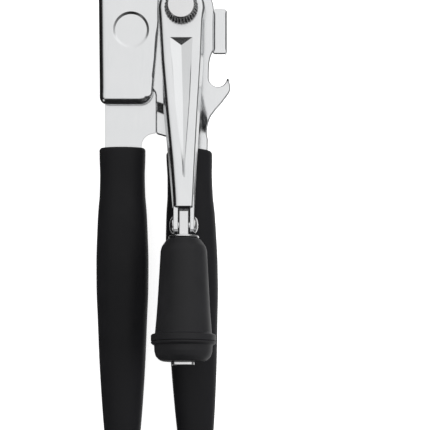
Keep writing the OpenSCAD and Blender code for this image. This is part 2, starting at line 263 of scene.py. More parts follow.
def rounded(points, radius, count=4):
    """Rounds the inner corners of an open profile of (radius, distance) pairs."""
    out = [points[0]]
    for before, here, after in zip(points, points[1:], points[2:]):
        p, q, s = Vector(before), Vector(here), Vector(after)
        reach = min(radius, (p - q).length * 0.45, (s - q).length * 0.45)
        a = q + (p - q).normalized() * reach
        b = q + (s - q).normalized() * reach
        for u in steps(0, 1, count):
            out.append(tuple(a * (1 - u) ** 2 + q * 2 * u * (1 - u) + b * u ** 2))
    out.append(points[-1])
    return out


# ---------------------------------------------------------------- finishes


def make_finish(name, slot, colour, metallic, roughness, specular=0.5):
    material = bpy.data.materials.new(name)
    material.use_nodes = True
    tree = material.node_tree
    shader = tree.nodes["Principled BSDF"]
    shader.inputs["Metallic"].default_value = metallic
    shader.inputs["Specular IOR Level"].default_value = specular
    shader.inputs["Base Color"].default_value = (*colour, 1)
    shader.inputs["Roughness"].default_value = roughness
    return material, slot


def add_noise(tree, place, scale, detail, stretch=(1, 1, 1)):
    mapping = tree.nodes.new("ShaderNodeMapping")
    mapping.inputs["Scale"].default_value = stretch
    noise = tree.nodes.new("ShaderNodeTexNoise")
    noise.inputs["Scale"].default_value = scale
    noise.inputs["Detail"].default_value = detail
    tree.links.new(place.outputs["Object"], mapping.inputs["Vector"])
    tree.links.new(mapping.outputs["Vector"], noise.inputs["Vector"])
    return noise.outputs["Fac"]


def spread(tree, value, low, high, from_low=0.3, from_high=0.7):
    node = tree.nodes.new("ShaderNodeMapRange")
    node.inputs["From Min"].default_value = from_low
    node.inputs["From Max"].default_value = from_high
    node.inputs["To Min"].default_value = low
    node.inputs["To Max"].default_value = high
    tree.links.new(value, node.inputs["Value"])
    return node.outputs["Result"]


def blend_colour(tree, value, first, second):
    node = tree.nodes.new("ShaderNodeMix")
    node.data_type = "RGBA"
    node.inputs["A"].default_value = (*first, 1)
    node.inputs["B"].default_value = (*second, 1)
    tree.links.new(value, node.inputs["Factor"])
    return node.outputs["Result"]


def add_bump(tree, shader, height, strength, distance):
    node = tree.nodes.new("ShaderNodeBump")
    node.inputs["Strength"].default_value = strength
    node.inputs["Distance"].default_value = distance
    tree.links.new(height, node.inputs["Height"])
    tree.links.new(node.outputs["Normal"], shader.inputs["Normal"])


def metal(name, slot, dark, light, smoothest, roughest, grain=(1, 0.03, 1), grain_scale=7000,
          bump=0.12):
    """Satin metal: a fine grain drawn out along Y, faint clouding, and a slightly uneven polish."""
    material, slot = make_finish(name, slot, light, 1.0, smoothest)
    tree = material.node_tree
    shader = tree.nodes["Principled BSDF"]
    place = tree.nodes.new("ShaderNodeTexCoord")
    lines = add_noise(tree, place, grain_scale, 3, grain)
    clouds = add_noise(tree, place, 90, 4)
    added = tree.nodes.new("ShaderNodeMath")
    added.operation = "ADD"
    tree.links.new(spread(tree, lines, 0, 0.6), added.inputs[0])
    tree.links.new(spread(tree, clouds, 0, 0.4), added.inputs[1])
    tree.links.new(spread(tree, added.outputs["Value"], smoothest, roughest, 0, 1),
                   shader.inputs["Roughness"])
    tree.links.new(blend_colour(tree, added.outputs["Value"], dark, light),
                   shader.inputs["Base Color"])
    add_bump(tree, shader, lines, bump, 0.00002)
    return material, slot


def moulded(name, slot, dark, light, smoothest, roughest, specular, grain_scale, bump):
    """Moulded black surface: fine stipple, soft mottling and a slightly uneven sheen."""
    material, slot = make_finish(name, slot, light, 0.0, smoothest, specular)
    tree = material.node_tree
    shader = tree.nodes["Principled BSDF"]
    place = tree.nodes.new("ShaderNodeTexCoord")
    stipple = add_noise(tree, place, grain_scale, 2)
    clouds = add_noise(tree, place, 120, 4)
    tree.links.new(spread(tree, clouds, smoothest, roughest), shader.inputs["Roughness"])
    tree.links.new(blend_colour(tree, clouds, dark, light), shader.inputs["Base Color"])
    add_bump(tree, shader, stipple, bump, 0.00004)
    return material, slot


SATIN = metal("satin_steel", "satin_steel", (0.74, 0.75, 0.76), (0.80, 0.805, 0.81), 0.17, 0.24)
TURNED = metal("turned_steel", "hardware_steel", (0.70, 0.70, 0.71), (0.80, 0.80, 0.80),
               0.16, 0.26, grain=(1, 1, 1), grain_scale=3500)
# painted shade: near-black steel for the knurl's valleys, standing in for the shade between its
# crests
KNURL_PAINTED_SHADE = metal("knurl_painted_shade", "hardware_steel", (0.012, 0.012, 0.012), (0.05, 0.05, 0.05),
              0.25, 0.4, grain=(1, 1, 1), grain_scale=1800, bump=0.5)
HARDENED = metal("hardened_steel", "hardened_steel", (0.46, 0.46, 0.47), (0.58, 0.58, 0.59),
                 0.24, 0.34, grain=(1, 1, 1), grain_scale=3000)
SOFT = moulded("soft_touch", "soft_grip", (0.0075, 0.0075, 0.0085), (0.0105, 0.0105, 0.012),
               0.5, 0.62, 0.2, 2600, 0.25)
PLASTIC = moulded("moulded_plastic", "black_plastic", (0.013, 0.013, 0.014),
                  (0.018, 0.018, 0.0195), 0.4, 0.5, 0.18, 3200, 0.12)

# ---------------------------------------------------------------- head cover


def pressed(bm, outline, top, bends, skirts, angles=8):
    """A sheet face rolled over at its outline, with a bend radius and a skirt's lower end for
    each point. Returns the rim of the flat face."""
    normals = inward(outline)
    rows = []
    for a in steps(0, math.pi / 2, angles):
        rows.append([bm.verts.new((x + nx * r * (1 - math.sin(a)), y + ny * r * (1 - math.sin(a)),
                                   top - r * (1 - math.cos(a))))
                     for (x, y), (nx, ny), r in zip(outline, normals, bends)])
    rows.append([bm.verts.new((x, y, z)) for (x, y), z in zip(outline, skirts)])
    for first, second in zip(rows, rows[1:]):
        strip(bm, first, second, closed=True)
    return rows[0]


def face_up(bm):
    """Makes a shell's outer side the one that looks up."""
    bmesh.ops.recalc_face_normals(bm, faces=bm.faces)
    if sum(f.normal.z * f.calc_area() for f in bm.faces) < 0:
        bmesh.ops.reverse_faces(bm, faces=bm.faces)


def make_cover():
    """The box over the head. Its right side is a trimmed edge with a small roll."""
    left, low = COVER_LOW.x - 0.35, COVER_LOW.y - 0.45
    right, top = COVER_HIGH.x, COVER_HIGH.y
    small, large, crown, slant = 3.1, 5.6, 5.0, 0.55
    inner_right = -4.4
    trim_from, trim_deep, foot_above = 54.0, 1.3, 1.5
    outline = (arc(left + slant + small, low + small, small, 180, 270)
               + arc(inner_right - large, low + large, large, 270, 360, 14)
               + [(inner_right + 0.05, 55.0), (-3.32, 67.0), (-2.25, 79.9), (right, 84.2)]
               + arc(right - crown, top - crown, crown, 0, 90)
               + arc(left + crown, top - crown, crown, 90, 180))
    outline = resample(outline, 1.5)
    side_bend, low_bend = 3.0, 2.8
    bends, skirts = [], []
    for x, y in outline:
        # share is 1 on the deep sides and 0 on the trimmed edge
        share = 1 - smooth((x + 6.4) / 2.0) if y < 60 else 1 - smooth((x + 6.0) / 3.0)
        full = low_bend + (side_bend - low_bend) * smooth((y - low - 3) / 4)
        lip = along([(68, 0.9), (73, 1.15), (78, 1.15), (82, 0.4)], y)
        bends.append(lip + (full - lip) * share)
        if share < 0.5 and y > trim_from:
            skirts.append(COVER_TOP - trim_deep)
        elif y < low + 2 * small and x > left + 1:
            skirts.append(ARM_TOP + foot_above)
        else:
            skirts.append(ARM_TOP - ARM_T)
    bm = bmesh.new()
    face_rim = pressed(bm, outline, COVER_TOP, bends, skirts)
    # the dimple over the cutter's stud
    wall = rounded([(8.1, 0.0), (7.8, 0.0), (6.7, -0.56), (5.9, -0.56)], 0.16, 4)
    turns = [2 * math.pi * i / 72 for i in range(72)]
    rings = [[bm.verts.new((CUTTER.x + r * math.cos(a), CUTTER.y + r * math.sin(a), COVER_TOP + d))
              for a in turns] for r, d in wall]
    for first, second in zip(rings, rings[1:]):
        strip(bm, first, second, closed=True)
    bm.faces.new(rings[-1])
    edges = []
    for ring in (face_rim, rings[0]):
        edges += [bm.edges.get((ring[k - 1], ring[k])) for k in range(len(ring))]
    bmesh.ops.triangle_fill(bm, use_beauty=True, edges=edges, normal=(0, 0, 1))
    face_up(bm)
    publish(bm, "cover_shell", "left_arm", SATIN, ("head_cover",), wall=1.0, bevel=0.18,
            segments=2, orient=False, bevel_from=60)


make_cover()

# ---------------------------------------------------------------- arms

LEFT_X = -3.3
TANG_END = -93
# the bottle opener's throat and the hook under it: centre and radius
THROAT = (23.6, 59.9, 3.9)
HOOK = (24.4, 55.6, 4.68)
# the right arm steps forward between these two lines of (X, Y)
FOOT_LOW = [(-3.0, 45.4), (0.4, 44.0), (8.0, 41.5), (15.9, 35.3), (18.8, 35.7), (20.5, 37.0)]
FOOT_HIGH = [(-3.0, 49.8), (0.1, 48.9), (10.0, 48.0), (16.7, 46.3), (19.3, 41.0), (20.1, 41.7),
             (22.0, 44.0)]
STEP_RISE = [(-0.6, 0.0), (0.0, 0.09), (0.5, 0.5), (1.0, 0.91), (1.6, 1.0)]
ARM_EDGE = 0.75


def edge_loop(bm):
    """The vertices round the edge of a flat patch, in anticlockwise order."""
    edge = next(e for e in bm.edges if e.is_boundary)
    loop = list(edge.verts)
    while True:
        edge = next(e for e in loop[-1].link_edges if e.is_boundary and e is not edge)
        if edge.other_vert(loop[-1]) is loop[0]:
            break
        loop.append(edge.other_vert(loop[-1]))
    turn = sum(a.co.x * b.co.y - b.co.x * a.co.y for a, b in zip(loop, loop[1:] + loop[:1]))
    return loop if turn > 0 else loop[::-1]


def make_right_arm():
    """The right arm with its tang, hook, throat and disc, stepped forward over the tang."""
    dx, dy = DRIVE.x, DRIVE.y
    disc, lobe = 13.85, 7.5
    reach = math.hypot(PIVOT.x - dx, PIVOT.y - dy)
    lean = math.degrees(math.atan2(PIVOT.y - dy, PIVOT.x - dx))
    touch = math.degrees(math.acos((disc - lobe) / reach))
    outline = [(9.4, TANG_END), (18.4, TANG_END), (17.6, 10), (19.2, 28), (19.33, 33.4)]
    outline += arc(35.0, 36.0, 16.1, 181, 152, 8)
    outline += [(22.83, 46.19), (25.25, 48.92)]
    outline += arc(*HOOK, -38, 20, 10)
    outline += [(28.4, 59.3), (28.15, 59.85), (27.6, 60.2)]
    outline += arc(*THROAT, -2, -176, 18)
    outline += [(19.75, 62.5), (19.94, 66.3), (20.4, 68.6), (21.0, 70.2), (21.75, 71.9)]
    outline += [(dx + 13.65, dy - 5)]
    outline += arc(dx, dy, disc, 0, lean - touch, 16)
    outline += arc(PIVOT.x, PIVOT.y, lobe, lean - touch, lean + touch, 16)
    outline += [(-6.0, 84.0), (-6.0, 55.5), (-4.6, 54.8), (-3.6, 53.7), (LEFT_X + 0.04, 52.4)]
    outline += arc(LEFT_X + 1.54, 36.9, 1.5, 180, 262, 6)
    outline += [(1.6, 34.4), (2.6, 33.6), (2.9, 28), (8.3, 10)]
    outline = resample(outline, 0.8)
    bm = bmesh.new()
    bm.faces.new([bm.verts.new((x + nx * ARM_EDGE, y + ny * ARM_EDGE, 0))
                  for (x, y), (nx, ny) in zip(outline, inward(outline))])

    def cut(point, normal):
        bmesh.ops.bisect_plane(bm, geom=bm.verts[:] + bm.edges[:] + bm.faces[:], dist=1e-5,
                               plane_co=point, plane_no=normal)

    for y in steps(31.0, 53.0, 50):
        cut((0, y, 0), (0, 1, 0))
    for x in steps(-3.2, 21.2, 56):
        cut((x, 0, 0), (1, 0, 0))
    bmesh.ops.remove_doubles(bm, verts=bm.verts, dist=0.08)
    for v in bm.verts:
        low, high = along(FOOT_LOW, v.co.x), along(FOOT_HIGH, v.co.x)
        rise = flowing(STEP_RISE, (v.co.y - low) / (high - low))
        v.co.z = ARM_TOP + (UPPER_TOP - ARM_TOP) * rise
    # the underside is a copy, joined to the face by a rolled edge
    rim = edge_loop(bm)
    under = bmesh.ops.duplicate(bm, geom=bm.faces[:])
    bmesh.ops.translate(bm, vec=(0, 0, -ARM_T), verts=[g for g in under["geom"]
                                                       if isinstance(g, bmesh.types.BMVert)])
    below = [under["vert_map"][v] for v in rim]
    normals = inward([(v.co.x, v.co.y) for v in rim])
    rows = [rim]
    levels = [(ARM_EDGE * math.sin(a), ARM_EDGE * (1 - math.cos(a)))
              for a in steps(0, math.pi / 2, 5)[1:]]
    for out, down in levels + [(out, ARM_T - down) for out, down in levels[::-1]]:
        rows.append([bm.verts.new(v.co + Vector((-nx * out, -ny * out, -down)))
                     for v, (nx, ny) in zip(rim, normals)])
    rows.append(below)
    for first, second in zip(rows, rows[1:]):
        strip(bm, first, second, closed=True)
    publish(bm, "right_arm_plate", "right_arm", SATIN, ("right_arm",), sharp=60)


make_right_arm()


def make_tab():
    """The cap rest: a raised leaf with rolled edges, its outer edge bent back."""
    left, right, low, high, top = 21.3, 27.6, 70.1, 89.5, UPPER_TOP + 0.3
    left_bend, right_bend, end_bend, bent_to, r = 1.7, 1.3, 0.55, 4.6, 1.25
    outline = (arc(left + r, low + r, r, 180, 270, 6) + arc(right - r, low + r, r, 270, 360, 6)
               + arc(right - r, high - r, r, 0, 90, 6) + arc(left + r, high - r, r, 90, 180, 6))
    outline = resample(outline, 1.0)
    bends, skirts = [], []
    for x, y in outline:
        end = max(smooth((low + 2.2 - y) / 2.0), smooth((y - high + 2.2) / 2.0))
        side = left_bend if x < (left + right) / 2 else right_bend
        bends.append(side + (end_bend - side) * end)
        skirts.append(bent_to if x > right - 0.3 else top - left_bend)
    bm = bmesh.new()
    bm.faces.new(pressed(bm, outline, top, bends, skirts, 7))
    face_up(bm)
    publish(bm, "cap_rest_leaf", "right_arm", SATIN, wall=0.7, bevel=0.12, segments=2,
            orient=False, bevel_from=60)


make_tab()
refine("left_arm", "left_arm", SATIN, 0.27)

# ---------------------------------------------------------------- crank

# the crank's edges and groove, as (distance past the bend, X) pairs
BOSS_R = 9.95
LEFT_OUT = [(-10, DRIVE.x - BOSS_R), (0, -1.2), (13, -0.3), (34.6, 0.7), (56, 2.9), (71, 4.25),
            (76, 4.7)]
LEFT_FLAT = [(-10, 0.45), (0, 1.1), (13, 1.95), (34.6, 3.9), (56, 6.05), (71, 7.2), (76, 7.4)]
RIGHT_FLAT = [(-10, 16.35), (0, 15.9), (13, 15.45), (34.6, 14.2), (56, 13.15), (71, 12.5),
              (76, 12.25)]
RIGHT_OUT = [(-10, DRIVE.x + BOSS_R), (0, 17.7), (13, 17.35), (34.6, 16.05), (56, 14.8),
             (71, 14.15), (76, 13.9)]
# how deep the channel's sides reach, by distance past the bend
DEPTH = [(-20, 3.6), (0, 3.6), (60, 5.4), (76, 6.9)]
# the groove between two shoulders, falling to a valley
GROOVE_LEFT = [(2.5, 3.3), (30.3, 5.4), (62.9, 9.4)]
GROOVE_RIGHT = [(2.5, 12.9), (30.3, 11.8), (62.9, 9.5)]
VALLEY = [(2.5, 8.0), (30.3, 8.88), (62.9, 9.45)]
GROOVE_FROM, GROOVE_APEX, GROOVE_TO = 2.75, 5.8, 63.0
GROOVE_DEPTH, GROOVE_END_DEPTH = 1.6, 0.22
LEFT_STEP = [(8, 0.0), (14, 0.05), (62.9, 0.0)]
RIGHT_STEP = [(12, 0.0), (30, 0.22), (62.9, 0.22)]
FACE_END = 75.4
LEFT_CURL, RIGHT_CURL, BOSS_CURL = 2.3, 0.9, 1.9
KNEE = 2.5


def on_crank(s, x, w):
    """A point of the crank from its distance past the bend, its X and its height over the face."""
    if s <= -KNEE:
        return Vector((x, BEND_Y - s, CRANK_TOP + w))
    radius = KNEE / math.tan(RISE / 2)
    if s < KNEE:
        a = RISE * (s + KNEE) / (2 * KNEE)
        y = BEND_Y + KNEE - (radius - w) * math.sin(a)
        return Vector((x, y, CRANK_TOP + radius - (radius - w) * math.cos(a)))
    return Vector((x, BEND_Y - s * math.cos(RISE) + w * math.sin(RISE),
                   CRANK_TOP + s * math.sin(RISE) + w * math.cos(RISE)))


def flange_profile(reach, depth, curl):
    """(outward, down) pairs of a bend and a flange that flares to end that far out and down."""
    low, high = math.radians(-10), math.radians(45)
    for _ in range(40):
        flare = (low + high) / 2
        out = curl * math.cos(flare) + math.tan(flare) * (depth - curl * (1 - math.sin(flare)))
        low, high = (flare, high) if out < reach else (low, flare)
    points = [(curl * math.sin(t), curl * (1 - math.cos(t)))
              for t in steps(0, math.pi / 2 - flare, 7)]
    x0, w0 = points[-1]
    return points + [(x0 + (reach - x0) * u, w0 + (depth - w0) * u) for u in (0.34, 0.67, 1.0)]


def make_crank():
    """The channel-section crank with its groove, flanges and round boss."""
    bm = bmesh.new()
    marks = [-KNEE, -1.5, -0.5, 0.5, 1.5, 2.3] + steps(GROOVE_FROM, 6.5, 16) + [7.2]
    marks += steps(8.0, 62.2, 30) + [GROOVE_TO, GROOVE_TO + 0.3, 65.0, 68.0, 72.0, 74.6, FACE_END]
    soft, crest, middle_x = 0.22, 0.3, 9.5
    left_row, right_row, grid = [], [], []
    for s in marks:
        lf, rf = along(LEFT_FLAT, s), along(RIGHT_FLAT, s)
        gl, gr, v = along(GROOVE_LEFT, s), along(GROOVE_RIGHT, s), along(VALLEY, s)
        gl, gr = min(gl, v - 0.5), max(gr, v + 0.5)
        depth = 0.0
        if s <= GROOVE_TO:
            deepening = (GROOVE_TO - s) / (GROOVE_TO - GROOVE_APEX)
            depth = GROOVE_END_DEPTH + (GROOVE_DEPTH - GROOVE_END_DEPTH) * deepening
        # the end facet takes the middle of the groove, down to its apex
        fallen = min(1.0, max(0.0, (s - GROOVE_FROM) / (GROOVE_APEX - GROOVE_FROM)))

        def floor(x):
            side = (x - gl) / (v - gl) if x < v else (gr - x) / (gr - v)
            step = along(LEFT_STEP if x < v else RIGHT_STEP, s)
            edge = smooth(min(x - gl, gr - x) / crest)
            return -max(0.0, min(depth * fallen, depth, step * edge + (depth - step) * side))

        xs = [lf, lf + (gl - lf) * 0.5, gl - soft]
        for start, sign in ((gl, 1), (gr, -1)):
            crease = start + (v - start) * fallen
            near = min(crest, abs(crease - start) / 2)
            inner = start + sign * near
            half = [start + sign * near * u for u in (0, 0.33, 0.67, 1)]
            half += [inner + (crease - start - sign * near) * u for u in (0.3, 0.6, 0.85, 1)]
            half += [crease + (v - crease) * u for u in (0.5, 1)]
            xs += half if sign > 0 else half[::-1][1:]
        xs += [gr + soft, rf - (rf - gr) * 0.5, rf]
        # past the groove the columns fan out evenly
        share = smooth((s - GROOVE_TO - 0.3) / 6)
        xs = [x + (lf + (rf - lf) * k / (len(xs) - 1) - x) * share for k, x in enumerate(xs)]
        row = [bm.verts.new(on_crank(s, x, floor(x))) for x in xs]
        grid.append(row)
        left = flange_profile(lf - along(LEFT_OUT, s), along(DEPTH, s), LEFT_CURL)
        right = flange_profile(along(RIGHT_OUT, s) - rf, along(DEPTH, s), RIGHT_CURL)
        left_row.append([row[0]] + [bm.verts.new(on_crank(s, lf - o, -w)) for o, w in left[1:]])
        right_row.append([row[-1]] + [bm.verts.new(on_crank(s, rf + o, -w)) for o, w in right[1:]])
    for first, second in zip(grid, grid[1:]):
        strip(bm, first, second)
    # the boss, from the right edge at the bend round to the left edge
    around = []
    for s in (-5.0, -7.5):
        x = along(RIGHT_FLAT, s)
        around.append((x, BEND_Y - s, 1.0, 0.0, along(RIGHT_OUT, s) - x, BOSS_CURL * -s / 10))
    reach_right = DRIVE.x + BOSS_R - along(RIGHT_FLAT, -10)
    reach_left = along(LEFT_FLAT, -10) - DRIVE.x + BOSS_R
    for a in steps(0, math.pi, 40):
        share = smooth(a / math.pi)
        reach = reach_right + (reach_left - reach_right) * share
        curl = BOSS_CURL + (LEFT_CURL - BOSS_CURL) * share
        c, d, r = math.cos(a), math.sin(a), BOSS_R - reach
        around.append((DRIVE.x + r * c, DRIVE.y + r * d, c, d, reach, curl))
    for s in (-7.5, -5.0):
        x = along(LEFT_FLAT, s)
        around.append((x, BEND_Y - s, -1.0, 0.0, x - along(LEFT_OUT, s), LEFT_CURL))
    rim, ribs = [], [right_row[0]]
    for x, y, nx, ny, out, curl in around:
        profile = flange_profile(out, along(DEPTH, -10), curl)
        column = [bm.verts.new((x + nx * o, y + ny * o, CRANK_TOP - w)) for o, w in profile]
        rim.append(column[0])
        ribs.append(column)
    ribs.append(left_row[0])
    for first, second in zip(ribs, ribs[1:]):
        strip(bm, first, second)
    bm.faces.new(grid[0] + rim)
    for rows in (left_row, right_row):
        for first, second in zip(rows, rows[1:]):
            strip(bm, first, second)
    bmesh.ops.remove_doubles(bm, verts=bm.verts, dist=0.004)
    bmesh.ops.recalc_face_normals(bm, faces=bm.faces)
    # outward is up on the face, and away from the middle on the flanges
    islands = []
    left_over = set(bm.faces)
    while left_over:
        seed = left_over.pop()
        island, queue = [seed], [seed]
        while queue:
            for e in queue.pop().edges:
                for f in e.link_faces:
                    if f in left_over:
                        left_over.remove(f)
                        island.append(f)
                        queue.append(f)
        islands.append(island)
    for island in islands:
        away = 0.0
        for f in island:
            c = f.calc_center_median()
            away += f.normal.dot(Vector(((c.x - middle_x) * 0.5, 0, 1))) * f.calc_area()
        if away < 0:
            bmesh.ops.reverse_faces(bm, faces=island)
    publish(bm, "crank_channel", "drive", SATIN, ("crank_arm",), wall=SHEET, bevel=0.3,
            segments=2, orient=False, bevel_from=62, sharp=14)


def make_ears():
    """The two plates that carry the fold pin, running on from the flanges."""
    ear_r, start, tail = 3.7, 1.1, 5.0
    for name, x0, x1 in (("crank_ear_left", 5.15, 7.15), ("crank_ear_right", 12.05, 13.8)):
        bm = bmesh.new()
        upper, lower = [], []
        for s in steps(FACE_END - tail, PIN_REACH + ear_r, 40):
            reach = max(0.0, s - PIN_REACH) / ear_r
            half = ear_r * max(0.0, 1 - reach ** 4) ** 0.25
            u = (s - FACE_END) / (PIN_REACH - FACE_END)
            low = -along(DEPTH, min(s, FACE_END)) + 0.2
            low += (-PIN_DROP - half - low) * smooth(u)
            high = -start + (half - PIN_DROP + start) * smooth(u * 2.2)
            if s < FACE_END:
                high -= 0.3
            upper.append((s, high))
            lower.append((s, low))
        outline = upper + lower[::-1][1:]
        rows = [[bm.verts.new(on_crank(s, x, w)) for s, w in outline] for x in (x0, x1)]
        strip(bm, rows[0], rows[1], closed=True)
        for row in rows:
            bm.faces.new(row)
        publish(bm, name, "drive", SATIN, bevel=0.3, segments=3, bevel_from=40)


make_crank()
make_ears()

# ---------------------------------------------------------------- nut and pins


def make_nut():
    """The round nut, with a diamond knurl on its cone and painted shade (near-black steel) between
    the crests.
    """
    base, top, height, teeth = 7.0, 5.45, 7.5, 32
    course, proud = 1.3, 0.3
    profile = rounded([(2.5, 0.0), (base, 0.0), (base, 1.0)], 0.25, 4)
    profile += [(base + (top + 0.4 - base) * (d - 1.6) / (height - 2.2), d)
                for d in steps(1.6, height - 0.7, 40)]
    profile += rounded([(top + 0.35, height - 0.55), (top + 0.05, height - 0.1),
                        (top - 0.3, height), (0.0, height)], 0.2, 4)
    knurled = [0.2 < d < height - 0.6 and r > top + 0.3 for r, d in profile]

    def diamond(angle, d):
        return math.cos(teeth / 2 * angle + math.pi * d / course) * math.cos(
            teeth / 2 * angle - math.pi * d / course)

    def ridges(k, a):
        return proud * diamond(a, profile[k][1]) if knurled[k] else 0.0

    nut = turned(profile, (DRIVE.x, DRIVE.y, CRANK_TOP), (0, 0, 1), "cap_nut_knurled", "drive",
                 TURNED, ("crank_nut",), sides=teeth * 10, ridges=ridges, sharp=60, closed=False)
    # the second finish paints shade into the knurl's valleys
    nut.data.materials.append(KNURL_PAINTED_SHADE[0])
    # faces between the crests on the knurled cone get the painted shade
    for polygon in nut.data.polygons:
        spot = polygon.center / MM - Vector((DRIVE.x, DRIVE.y, CRANK_TOP))
        crest = diamond(math.atan2(spot.y, spot.x) - math.pi / 2, spot.z) > 0.1
        if 0.2 < spot.z < height - 0.55 and math.hypot(spot.x, spot.y) > top + 0.3 and not crest:
            polygon.material_index = 1


make_nut()


def make_fold_pin():
    """The pin through the crank's ears, with a domed head at each end."""
    half, proud, head, shank = 4.3, 1.7, 3.6, 1.6
    dome = [(head * math.sin(t * math.pi / 2), half + proud * math.cos(t * math.pi / 2) * 0.999)
            for t in steps(0, 1, 8)[1:]]
    profile = [(0.0, -half - proud)] + [(r, -d) for r, d in dome]
    profile += [(head - 0.1, -half + 0.05), (shank, -half), (shank, half),
                (head - 0.1, half - 0.05)]
    profile += dome[::-1] + [(0.0, half + proud)]
    turned(profile, PIN, (1, 0, 0), "fold_pin_domed", "drive", TURNED, ("fold_pin",), sides=64)


make_fold_pin()

# ---------------------------------------------------------------- folding knob

# distances along the knob's axis from the pin, and radii
KNOB_TOP = 5.8
SEAM = 48.0
KNOB_END = 56.2
COLLAR = 13.3
SPINDLE = 2.5
SPINDLE_END = 1.6
STRAP_END = 4.6
UP_KNOB = Vector((1, 0, 0)).cross(KNOB_AXIS)


def make_tang():
    """The strap on the fold pin, with its spindle."""
    half, thick, nose = 2.0, 2.4, 7.2
    bm = bmesh.new()
    outline = [(-thick, STRAP_END), (-thick, -nose + thick)]
    outline += [(-thick * math.cos(a), -nose + thick - thick * math.sin(a))
                for a in steps(0, math.pi, 16)]
    outline += [(thick, STRAP_END)]
    rows = []
    for x in (-half, half):
        rows.append([bm.verts.new(PIN + Vector((x, 0, 0)) + UP_KNOB * w + KNOB_AXIS * d)
                     for w, d in outline])
    strip(bm, rows[0], rows[1], closed=True)
    bm.faces.new(rows[0])
    bm.faces.new(rows[1])
    bmesh.ops.remove_doubles(bm, verts=bm.verts, dist=0.001)
    publish(bm, "tang_strap", "knob_link", TURNED, ("knob_tang",), bevel=0.45, segments=4,
            bevel_from=50)
    spindle = [(0.0, STRAP_END - 0.2), (SPINDLE, STRAP_END - 0.2), (SPINDLE, KNOB_END - 0.2),
               (SPINDLE_END, KNOB_END + 0.1), (SPINDLE_END, KNOB_END + 1.3),
               (0.0, KNOB_END + 1.3)]
    turned(spindle, PIN, KNOB_AXIS, "tang_spindle", "knob_link", TURNED, sides=48, closed=False)


make_tang()


def make_knob():
    """The ferrule, the knob in its two mouldings, and the squared disc at its end."""
    ferrule = rounded([(SPINDLE, STRAP_END + 0.05), (6.1, STRAP_END + 0.05), (6.35, 4.85),
                       (6.35, 5.35), (6.1, KNOB_TOP - 0.15), (SPINDLE, KNOB_TOP - 0.15)], 0.15, 3)
    turned(ferrule, PIN, KNOB_AXIS, "ferrule_ring", "knob_link", TURNED, ("knob_ferrule",))
    bore = SPINDLE + 0.05
    body = rounded([(bore, KNOB_TOP), (6.5, KNOB_TOP), (7.3, 6.45), (9.1, 9.0), (9.62, 11.0)],
                   0.5, 4)
    body += [(flowing([(11.0, 9.62), (18.7, 10.0), (35.2, 10.88), (44.6, 11.62)], d), d)
             for d in steps(12, 44.2, 20)]
    body += rounded([(11.62, 44.6), (11.85, 45.05), (COLLAR - 0.35, 45.25), (COLLAR, 45.7),
                     (COLLAR, SEAM - 0.12), (COLLAR - 0.2, SEAM), (bore, SEAM)], 0.28, 4)
    turned(body, PIN, KNOB_AXIS, "knob_body", "knob", PLASTIC, ("crank_knob",), sides=112)
    cap = rounded([(bore, SEAM + 0.08), (COLLAR - 0.28, SEAM + 0.08), (COLLAR - 0.05, SEAM + 0.25),
                   (COLLAR - 0.05, 48.85), (COLLAR - 0.5, 49.3), (11.95, 49.65), (11.8, 52.2),
                   (11.2, 54.2), (9.7, 55.7), (8.4, KNOB_END), (5.4, KNOB_END),
                   (5.2, KNOB_END - 0.3), (bore, KNOB_END - 0.3)], 0.35, 4)
    turned(cap, PIN, KNOB_AXIS, "knob_cap", "knob", PLASTIC, ("knob_end_cap",), sides=112)
    disc_r, disc_from, disc_to = 4.6, KNOB_END + 0.03, KNOB_END + 1.5
    disc = rounded([(0.0, disc_to), (disc_r, disc_to), (disc_r, disc_from),
                    (SPINDLE_END, disc_from)], 0.25, 4)

    def squared(k, a):
        full = (abs(math.cos(a)) ** 5 + abs(math.sin(a)) ** 5) ** -0.2
        return disc[k][0] * (full - 1) if disc[k][0] > 4 else 0.0

    turned(disc, PIN, KNOB_AXIS, "end_disc", "knob_link", TURNED, ("knob_end_washer",), sides=96,
           ridges=squared, closed=False)


make_knob()

# ---------------------------------------------------------------- grips

# half width and half thickness, and their shares by distance from the grip's top
HALF_W = 11.3
HALF_T = 9.5
GRIP_LONG = 141.7
WIDTHS = [(0, 0.885), (5, 0.878), (12, 0.858), (20, 0.872), (28, 0.93), (38, 0.97), (50, 1.0),
          (60, 0.995), (75, 0.945), (92, 0.885), (110, 0.79), (124, 0.69), (134, 0.59),
          (GRIP_LONG, 0.4)]
THICKS = [(0, 0.8), (12, 0.8), (20, 0.83), (28, 0.9), (38, 0.96), (50, 1.0), (60, 1.0),
          (75, 0.97), (92, 0.92), (110, 0.84), (124, 0.76), (134, 0.68), (GRIP_LONG, 0.5)]


